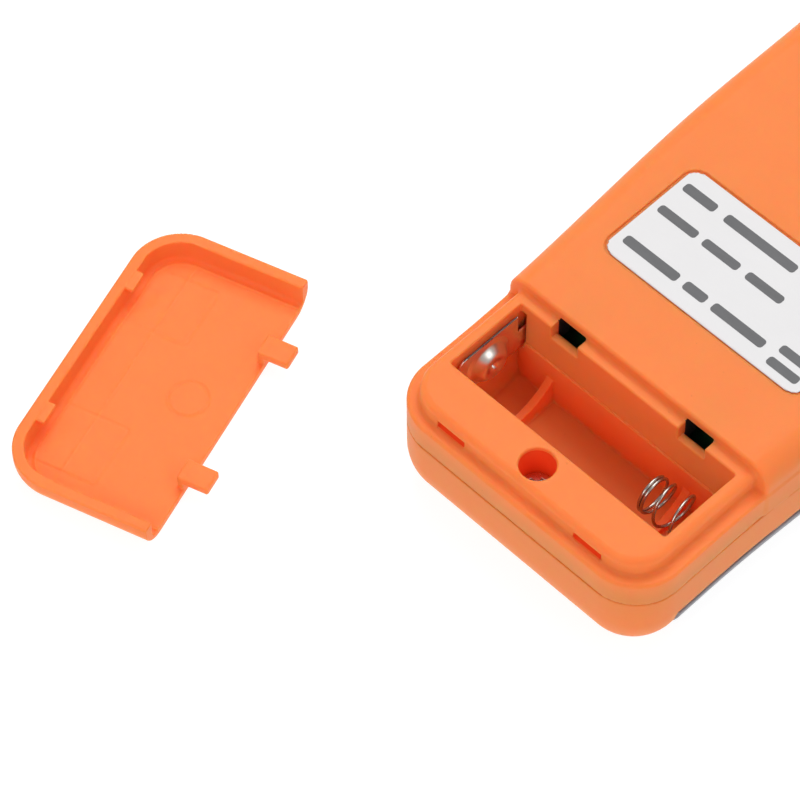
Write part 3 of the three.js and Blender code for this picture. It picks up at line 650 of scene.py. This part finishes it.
def mesh_object(name, points, faces, normals=None):
    """An object from points in the case's millimetres, and their normals."""
    mesh = bpy.data.meshes.new(name)
    fill_mesh(mesh, (points + [0, BATTERY_END, 0]) * MM, faces)
    if normals is not None:
        mesh.normals_split_custom_set_from_vertices(normals.tolist())
    made = bpy.data.objects.new(name, mesh)
    bpy.context.scene.collection.objects.link(made)
    return made


def tube(name, path, radius, sides=14):
    """A round wire along a path that winds about x, with rounded ends."""
    ahead = np.gradient(path, axis=0)
    ahead /= np.linalg.norm(ahead, axis=1, keepdims=True)
    turns = np.linspace(0, math.pi / 2, 5)[:-1]
    start = [(path[0] - ahead[0] * radius * math.cos(t), ahead[0], math.sin(t)) for t in turns]
    end = [(path[-1] + ahead[-1] * radius * math.cos(t), ahead[-1], math.sin(t)) for t in turns[::-1]]
    stops = start + [(p, a, 1.0) for p, a in zip(path, ahead)] + end
    points, normals = [], []
    for centre, along, share in stops:
        out = np.array([1.0, 0, 0]) - along[0] * along
        out /= np.linalg.norm(out)
        across = np.cross(along, out)
        for i in range(sides):
            angle = 2 * math.pi * i / sides
            ray = math.cos(angle) * out + math.sin(angle) * across
            points.append(centre + ray * radius * max(share, 0.02))
            normals.append(ray)
    ring = np.arange(sides)
    faces = []
    for k in range(len(stops) - 1):
        low, high = k * sides + ring, k * sides + np.roll(ring, -1)
        faces.append(np.stack([low, high, high + sides, low + sides], 1))
    return mesh_object(name, np.array(points), np.concatenate(faces), np.array(normals))


def winding(xs, radii, turns, per_turn=64):
    """A coil's centre line about the contacts' middle, from one turn count to another."""
    share = np.linspace(0, 1, round((turns[1] - turns[0]) * per_turn) + 1)
    x = np.interp(share, np.linspace(0, 1, len(xs)), xs)
    r = np.interp(share, np.linspace(0, 1, len(radii)), radii)
    angle = 2 * math.pi * (turns[0] + (turns[1] - turns[0]) * share)
    return np.stack([x, CONTACT[0] + r * np.cos(angle), CONTACT[1] + r * np.sin(angle)], 1)


def print_bars(name, bars, low, high, corner=0.42, steps=6):
    """Flat bars with round corners: each bar is (x from, x to, e middle, height)."""
    points, faces = [], []
    for x0, x1, e, height in bars:
        r = min(corner, height / 2)
        ring = []
        for cx, ce, first in ((x1 - r, e + height / 2 - r, 0), (x0 + r, e + height / 2 - r, 1),
                              (x0 + r, e - height / 2 + r, 2), (x1 - r, e - height / 2 + r, 3)):
            for k in range(steps + 1):
                angle = (first + k / steps) * math.pi / 2
                ring.append((cx + r * math.cos(angle), ce + r * math.sin(angle)))
        base = len(points)
        count = len(ring)
        points += [(x, y, high) for x, y in ring] + [(x, y, low) for x, y in ring]
        faces.append([base + i for i in range(count)])
        for i in range(count):
            j = (i + 1) % count
            faces.append([base + i, base + count + i, base + count + j, base + j])
    mesh = bpy.data.meshes.new(name)
    mesh.from_pydata([tuple((np.array(p) + [0, BATTERY_END, 0]) * MM) for p in points], [], faces)
    made = bpy.data.objects.new(name, mesh)
    bpy.context.scene.collection.objects.link(made)
    return made


# --- finishes ----------------------------------------------------------------------------------

def wire(tree, pairs):
    """Links each pair of sockets: where it comes from, where it goes."""
    for source, target in pairs:
        tree.links.new(source, target)


def noise(tree, space, size, detail, distortion=0.0):
    """A noise whose features are about the given size, in millimetres."""
    node = tree.nodes.new("ShaderNodeTexNoise")
    node.inputs["Scale"].default_value = 1 / (size * MM)
    node.inputs["Detail"].default_value = detail
    node.inputs["Distortion"].default_value = distortion
    tree.links.new(space, node.inputs["Vector"])
    return node.outputs["Fac"]


def spread(tree, source, span, result):
    """Maps a noise's middle range to another range."""
    node = tree.nodes.new("ShaderNodeMapRange")
    node.inputs["From Min"].default_value = span[0]
    node.inputs["From Max"].default_value = span[1]
    node.inputs["To Min"].default_value = result[0]
    node.inputs["To Max"].default_value = result[1]
    tree.links.new(source, node.inputs["Value"])
    return node.outputs["Result"]


def blend_colour(tree, share, first, second):
    """A mix of two colours; either can be a fixed colour or another node's output."""
    node = tree.nodes.new("ShaderNodeMix")
    node.data_type = "RGBA"
    tree.links.new(share, node.inputs["Factor"])
    for value, socket in ((first, node.inputs[6]), (second, node.inputs[7])):
        if isinstance(value, tuple):
            socket.default_value = (*value, 1)
        else:
            tree.links.new(value, socket)
    return node.outputs[2]


def shade(colour, by):
    """A colour made lighter or darker by a factor."""
    return tuple(min(1, c * by) for c in colour)


def finish(name, colour, roughness, metallic=0.0, grain=0.25, depth=0.006, mottle=0.05, specks=0.25,
           stretch=None, **others):
    """A finish with fine grain in relief, uneven colour and gloss, fine scratches and specks of dust."""
    made = bpy.data.materials.new(name)
    made.use_nodes = True
    tree = made.node_tree
    shader = tree.nodes["Principled BSDF"]
    shader.inputs["Base Color"].default_value = (*colour, 1)
    shader.inputs["Roughness"].default_value = roughness
    shader.inputs["Metallic"].default_value = metallic
    for key, value in others.items():
        shader.inputs[key.replace("_", " ")].default_value = value
    space = tree.nodes.new("ShaderNodeTexCoord").outputs["Object"]
    stretched = tree.nodes.new("ShaderNodeMapping")
    stretched.inputs["Scale"].default_value = stretch or (1, 6, 1)
    tree.links.new(space, stretched.inputs["Vector"])
    cloud = spread(tree, noise(tree, space, 9, 4), (0.3, 0.7), (0, 1))
    colours = blend_colour(tree, cloud, shade(colour, 1 - mottle), shade(colour, 1 + mottle))
    dust = spread(tree, noise(tree, space, 0.6, 2), (0.74, 0.8), (0, specks))
    colours = blend_colour(tree, dust, colours, shade(colour, 0.55))
    scratch = noise(tree, stretched.outputs["Vector"], 1.4, 6, 0.4)
    gloss = spread(tree, scratch, (0.3, 0.7), (roughness * 0.94, min(1, roughness * 1.06)))
    fine = noise(tree, space, grain, 3)
    bump = tree.nodes.new("ShaderNodeBump")
    bump.inputs["Strength"].default_value = 1
    bump.inputs["Distance"].default_value = depth * MM
    wire(tree, ((colours, shader.inputs["Base Color"]), (gloss, shader.inputs["Roughness"]),
                (fine, bump.inputs["Height"]), (bump.outputs["Normal"], shader.inputs["Normal"])))
    return made


FINISHES = {
    "orange_case": finish("orange_case", (0.97, 0.245, 0.066), 0.42, mottle=0.015, grain=0.16, depth=0.003,
                          Subsurface_Weight=0.85, Subsurface_Radius=(1.0, 0.18, 0.06), Subsurface_Scale=0.003,
                          Specular_IOR_Level=0.1),
    # painted glow: a dark red base with a red emission, for the slits and the end bore
    "painted_glow_orange": finish("painted_glow_orange", (0.7, 0.075, 0.016), 0.5, mottle=0.03, grain=0.16, depth=0.003,
                             Emission_Color=(0.2, 0.008, 0.001, 1), Emission_Strength=1.0,
                             Specular_IOR_Level=0.1),
    # painted shade: a darker, redder orange with a faint red painted glow, for the compartment's lower depth
    "painted_shade_orange": finish("painted_shade_orange", (0.93, 0.2, 0.052), 0.42, mottle=0.015, grain=0.16, depth=0.003,
                          Subsurface_Weight=0.85, Subsurface_Radius=(1.0, 0.18, 0.06), Subsurface_Scale=0.003,
                          Emission_Color=(0.02, 0.0, 0.0, 1), Emission_Strength=1.0, Specular_IOR_Level=0.1),
    "grey_bezel": finish("grey_bezel", (0.27, 0.26, 0.285), 0.5),
    "label": finish("label", (0.65, 0.64, 0.645), 0.38, mottle=0.01, depth=0.003),
    "label_ink": finish("label_ink", (0.085, 0.085, 0.09), 0.5, mottle=0.08, depth=0.003),
    "nickel": finish("nickel", (0.84, 0.78, 0.72), 0.3, 1.0, grain=1.2, depth=0.002, stretch=(1, 1, 14)),
    "spring_steel": finish("spring_steel", (0.46, 0.42, 0.38), 0.26, 1.0, grain=1.2, depth=0.002),
    "screw_steel": finish("screw_steel", (0.66, 0.64, 0.6), 0.28, 1.0, grain=0.3, depth=0.006),
    "copper": finish("copper", (0.72, 0.36, 0.18), 0.3, 1.0, grain=0.4, stretch=(1, 1, 16)),
    "circuit_board": finish("circuit_board", (0.03, 0.16, 0.06), 0.35, grain=0.7, depth=0.012, mottle=0.18),
    "black_plastic": finish("black_plastic", (0.022, 0.022, 0.024), 0.45, mottle=0.1),
    "white_plastic": finish("white_plastic", (0.75, 0.74, 0.72), 0.4),
    "led_lens": finish("led_lens", (0.75, 0.2, 0.15), 0.12, depth=0.002, Coat_Weight=0.5),
    "clear_window": finish("clear_window", (0.07, 0.075, 0.08), 0.08, depth=0.001, Coat_Weight=0.8),
    "red_insulation": finish("red_insulation", (0.45, 0.02, 0.01), 0.35, mottle=0.08),
}


def show(piece, body, slot, *nodes, look=None):
    """Gives a piece its body and the finish named by its slot or look, and hides the CAD nodes it stands for.
    """
    kinds = np.empty(len(piece.data.polygons), np.int32)
    piece.data.polygons.foreach_get("material_index", kinds)
    piece.data.materials.clear()
    piece.data.materials.append(FINISHES[look or slot])
    # Patch finishes: 1 is black painted shade, 2 is a painted glow, 3 is darker red painted shade.
    if kinds.any():
        for patch in ("black_plastic", "painted_glow_orange", "painted_shade_orange"):
            piece.data.materials.append(FINISHES[patch])
        piece.data.polygons.foreach_set("material_index", kinds)
    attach(piece, body)
    if nodes:
        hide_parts(*nodes)


# --- the pieces ---------------------------------------------------------------------------------

COARSE = 1.0
FLAT_ANGLE = math.radians(0.05)
TILE = 3.0                         # level areas are joined within tiles of this size


def grid(step, *spans):
    """Even stations over each of three spans."""
    return tuple(stations((low, high, step * COARSE)) for low, high in spans)


def case_columns():
    """Stations across the case, close where it has slots, a bore or screws."""
    return stations((-22.2, -14.3, 0.2), (-14.3, -12.7, 0.4), (-12.7, -7, 0.2), (-7, -4.4, 0.4),
                    (-4.4, 4.4, 0.22), (4.4, 7, 0.4), (7, 12.7, 0.2), (12.7, 14.3, 0.4), (14.3, 22.2, 0.2))


back_rows = stations((-0.8, 24, 0.2), (24, 29, 0.7), (29, 31.8, 0.2), (31.8, 42.6, 1.0), (42.6, 45.8, 0.2),
                     (45.8, 72.8, 1.5), (72.8, 78.2, 0.25), (78.2, 89.8, 1.0), (89.8, 95.2, 0.25),
                     (95.2, 128, 1.5), (128, 140.8, 0.3))


def painted_light_patches(x, e, z):
    """Painted-light patches: 1 is black painted shade on the inner faces behind the step and on the hook
    slots' walls past their lips, 2 is a painted glow in the latch slits and the end screw's bore, 3 is
    darker, redder painted shade with a faint painted glow low in the compartment.
    """
    near_hook = (abs(abs(x) - HOOK_X) < SLOT_HALF + 0.05) & (e < STEP + SLOT_DEPTH + 0.2)
    in_slot = near_hook & (e > SLOT_LIP + 0.12) & (z < PLATFORM + 0.25)
    beyond = (e > STEP + WALL - 0.25) & (z < THICKNESS - WALL + 0.25) & (outline(x, e) < -WALL + 0.3)
    off_bore = np.hypot(abs(x) - HEAD_SCREW[0], e - HEAD_SCREW[1]) > HEAD_BORE + 0.5
    slit = (abs(abs(x) - LATCH_X) < SLIT_HALF + 0.1) & (e > 1.5) & (e < 5.1) & (abs(z - 14.1) < 0.7)
    bore = (np.hypot(x - END_SCREW[0], e - END_SCREW[1]) < END_BORE + 0.2) & (abs(z - 13.3) < 2.2)
    in_cell = (abs(x) < CELL_HALF + 0.3) & (e > CELL_LOW - 0.3) & (e < CELL_HIGH + 0.3)
    deep = in_cell & (z > FLOOR_INSET - 0.4) & (z < CELL_STEP - 0.05)
    return np.select([in_slot | (beyond & off_bore), slit | bore, deep], [1, 2, 3], 0)


back_levels = stations((1.8, 3.8, 0.4), (3.8, 7.6, 0.25), (7.6, 12.6, 0.3), (12.6, 18, 0.2))
back = mesh_field("back_case", back_case, (case_columns(), back_rows, back_levels), patch=painted_light_patches)
show(back, "case", "orange_case", "back_shell")

front_rows = stations((-0.8, 9, 0.25), (9, 27, 1.2), (27, 33, 0.4), (33, 46, 1.2), (46, 58, 0.4),
                      (58, 72.8, 1.2), (72.8, 78.2, 0.3), (78.2, 89.8, 1.0), (89.8, 104, 0.35),
                      (104, 111, 1.0), (111, 117, 0.4), (117, 127, 1.2), (127, 140.8, 0.35))
front = mesh_field("front_case", front_case,
                   (stations((-22.2, 22.2, 0.35)), front_rows, stations((-0.4, 8, 0.3), (8, 11.2, 0.2))))
show(front, "case", "orange_case", "front_shell")

bezel_rows = stations((6, 12, 0.3), (12, 40, 1.2), (40, 44, 0.3), (44, 60, 0.5), (60, 63, 0.4), (63, 95, 1.2),
                      (95, 105, 0.3), (105, 129, 1.2), (129, 140.8, 0.4))
bezel = mesh_field("front_trim", front_bezel,
                   (stations((-22.2, 22.2, 0.35)), bezel_rows, stations((-0.6, 5, 0.2))))
show(bezel, "case", "grey_bezel", "front_bezel")

door = mesh_field("door", battery_door,
                  (stations((-19.8, 19.8, 0.2)), stations((-0.8, 23.4, 0.2)), stations((13.0, 18.0, 0.2))),
                  door_to_part)
show(door, "door", "orange_case", "battery_door")


def label_sheet(x, e, z):
    """The rating label, a thin sticker in the back's recess."""
    sheet = plate(x, e, span(0, LABEL["half"]), (LABEL["low"], LABEL["high"]), LABEL["corner"])
    return both(sheet, abs(z - LABEL["middle"]) - LABEL["thick"] / 2, 0.03)


label = mesh_field("label_plate", label_sheet, grid(0.3, (-15, 15), (29, 45.6), (17.0, 17.7)))
show(label, "case", "label", "rating_label")
TALL = 1.3
LOW = 1.2
WORDS = [(-13.6, -8.9, 42.3, TALL), (-7.4, 3.1, 42.3, TALL), (4.2, 11.2, 42.3, TALL),
         (-13.6, -7.9, 38.1, LOW), (-6.9, -1.6, 38.1, LOW), (-0.4, 4.9, 38.1, LOW),
         (-13.4, -5.4, 32.3, TALL), (-4.4, -1.2, 32.3, TALL), (-0.2, 7.4, 32.3, TALL),
         (8.9, 13.3, 33.4, LOW), (8.9, 13.3, 31.3, LOW)]
ink = print_bars("label_print", WORDS, *PRINT_HEIGHTS)
show(ink, "case", "label", look="label_ink")


def window_pane(x, e, z):
    """The clear window over the indicator lights."""
    pane = plate(x, e, span(0, WINDOW["width"] / 2), span(WINDOW["e"], WINDOW["length"] / 2),
                 WINDOW["corner"])
    return both(pane, abs(z - WINDOW["middle"]) - WINDOW["half"], 0.12)


window = mesh_field("sight_window", window_pane, grid(0.3, (-12.5, 12.5), (96, 104), (-0.1, 1.2)))
show(window, "case", "clear_window", "indicator_window")

button = mesh_field("scan_key", scan_button, grid(0.25, (17.2, 22.9), (73, 95), (7.6, 14.8)))
show(button, "scan_button", "black_plastic", "scan_button")
slider = mesh_field("mode_key", mode_slider, grid(0.25, (-4.6, 4.6), (46, 58), (0, 5)))
show(slider, "mode_slider", "black_plastic", "mode_slider")

# Patch 1 is painted shade: the plate's top edge, where the rim's shadow falls, is drawn in black_plastic.
positive = mesh_field("positive_plate", positive_contact, grid(0.1, (-16.1, -13.8), (7.6, 21.4), (8.2, 15.3)),
                      patch=lambda x, e, z: (z > POSITIVE_TOP - 0.06).astype(int))
show(positive, "case", "nickel", "positive_contact")
negative = mesh_field("spring_plate", spring_plate, grid(0.1, (15.2, 16.1), (7.6, 21.4), (8.2, 15.3)))
show(negative, "case", "nickel", "spring_contact_plate")


def case_screw(node, x, e, seat, length):
    """Builds one case screw in its place."""
    made = mesh_field(node + "_turned", lambda px, pe, pz: screw(px - x, pe - e, pz, seat, length),
                      grid(0.14, span(x, 2.2), span(e, 2.2), (seat - length - 0.5, seat + 1.4)))
    show(made, "case", "screw_steel", node)


case_screw("case_screw_end", *END_SCREW, END_SCREW_LENGTH)
case_screw("case_screw_right", *HEAD_SCREW, HEAD_SCREW_LENGTH)
case_screw("case_screw_left", -HEAD_SCREW[0], *HEAD_SCREW[1:], HEAD_SCREW_LENGTH)

tip_turns = winding((SPRING_START, SPRING_JOINT), (2.2, 2.2), (0.1, 1.65))
tip = tube("spring_tip_wire", tip_turns, SPRING_WIRE)
show(tip, "spring_tip", "nickel", "battery_spring_tip", look="spring_steel")
open_turns = winding((SPRING_JOINT, 12.2, 15.0), (2.2, 2.45, 2.9), (1.65, 3.65))
last_turn = winding((15.0, 15.2), (2.9, 2.9), (3.65, 4.1))
spring = tube("spring_wire", np.concatenate([open_turns, last_turn[1:]]), SPRING_WIRE)
show(spring, "case", "nickel", "battery_spring", look="spring_steel")
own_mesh(spring)

HIDDEN = {
    "main_board": "circuit_board", "controller_chip": "black_plastic", "amplifier_chip": "black_plastic",
    "buzzer": "black_plastic", "search_coil_bobbin": "white_plastic", "search_coil": "copper",
    "sensor_plate_left": "copper", "sensor_plate_right": "copper", "scan_switch_body": "black_plastic",
    "scan_switch_plunger": "white_plastic", "mode_switch_body": "black_plastic",
    "battery_lead_positive": "red_insulation", "battery_lead_negative": "black_plastic",
    **{f"indicator_led_{i}": "led_lens" for i in range(1, 6)},
}
for node, slot in HIDDEN.items():
    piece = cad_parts[node]
    piece.data.materials.clear()
    piece.data.materials.append(FINISHES[slot])

# --- floor, light and camera --------------------------------------------------------------------

FLOOR_REACH = 3.0                  # metres, as is everything from here on
FLOOR_HEIGHT = -0.0001
LIGHTS = (("overhead", (-0.25, 0.35, 0.9), 0.7, 6.7),     # name, place, size, power
          ("fill", (0.1, -0.8, 0.7), 0.5, 2.9),
          ("side", (0.65, 0.07, 0.6), 0.4, 1.0))
LIT_POINT = Vector((-0.01, -0.06, 0.01))
SKY = 0.38
CAMERA_SEAT = Vector((0.16504, -0.24789, 0.38745))
CAMERA_TARGET = Vector((-0.016412, -0.070126, 0.0160))
CAMERA_ROLL = math.radians(-0.698)
CAMERA_LENS = 186.2


def lay_floor():
    """A pale sheet of paper, which can be seen through from below."""
    mesh = bpy.data.meshes.new("floor")
    around = ((-1, -1), (1, -1), (1, 1), (-1, 1))
    corners = [(FLOOR_REACH * i, FLOOR_REACH * j, FLOOR_HEIGHT) for i, j in around]
    mesh.from_pydata(corners, [], [(0, 1, 2, 3)])
    floor = bpy.data.objects.new("floor", mesh)
    bpy.context.scene.collection.objects.link(floor)
    paper = finish("paper", (0.22, 0.22, 0.22), 0.9, mottle=0.003, depth=0.0, specks=0.0,
                   Emission_Color=(1, 1, 1, 1), Emission_Strength=0.88, Specular_IOR_Level=0.0)
    nodes = paper.node_tree.nodes
    from_below = nodes.new("ShaderNodeMixShader")
    wire(paper.node_tree, ((nodes.new("ShaderNodeNewGeometry").outputs["Backfacing"], from_below.inputs[0]),
                           (nodes["Principled BSDF"].outputs[0], from_below.inputs[1]),
                           (nodes.new("ShaderNodeBsdfTransparent").outputs[0], from_below.inputs[2]),
                           (from_below.outputs[0], nodes["Material Output"].inputs["Surface"])))
    floor.data.materials.append(paper)


def hang_light(name, place, size, power):
    """A square soft light that faces the object."""
    light = bpy.data.lights.new(name, "AREA")
    light.shape = "SQUARE"
    light.size = size
    light.energy = power
    lamp = bpy.data.objects.new(name, light)
    lamp.location = place
    lamp.rotation_euler = (Vector(place) - LIT_POINT).to_track_quat("Z", "Y").to_euler()
    bpy.context.scene.collection.objects.link(lamp)


lay_floor()
world = bpy.data.worlds.new("studio")
world.use_nodes = True
world.node_tree.nodes["Background"].inputs["Color"].default_value = (1, 1, 1, 1)
world.node_tree.nodes["Background"].inputs["Strength"].default_value = SKY
bpy.context.scene.world = world
for lamp_facts in LIGHTS:
    hang_light(*lamp_facts)

camera_data = bpy.data.cameras.new("camera")
camera_data.sensor_width = 36
camera_data.lens = CAMERA_LENS
camera_data.clip_start = 0.01
camera = bpy.data.objects.new("camera", camera_data)
turn = (CAMERA_TARGET - CAMERA_SEAT).to_track_quat("-Z", "Y").to_matrix().to_4x4()
camera.matrix_world = Matrix.Translation(CAMERA_SEAT) @ turn @ Matrix.Rotation(CAMERA_ROLL, 4, "Z")
bpy.context.scene.collection.objects.link(camera)
bpy.context.scene.camera = camera
bpy.context.scene.view_settings.view_transform = "Standard"
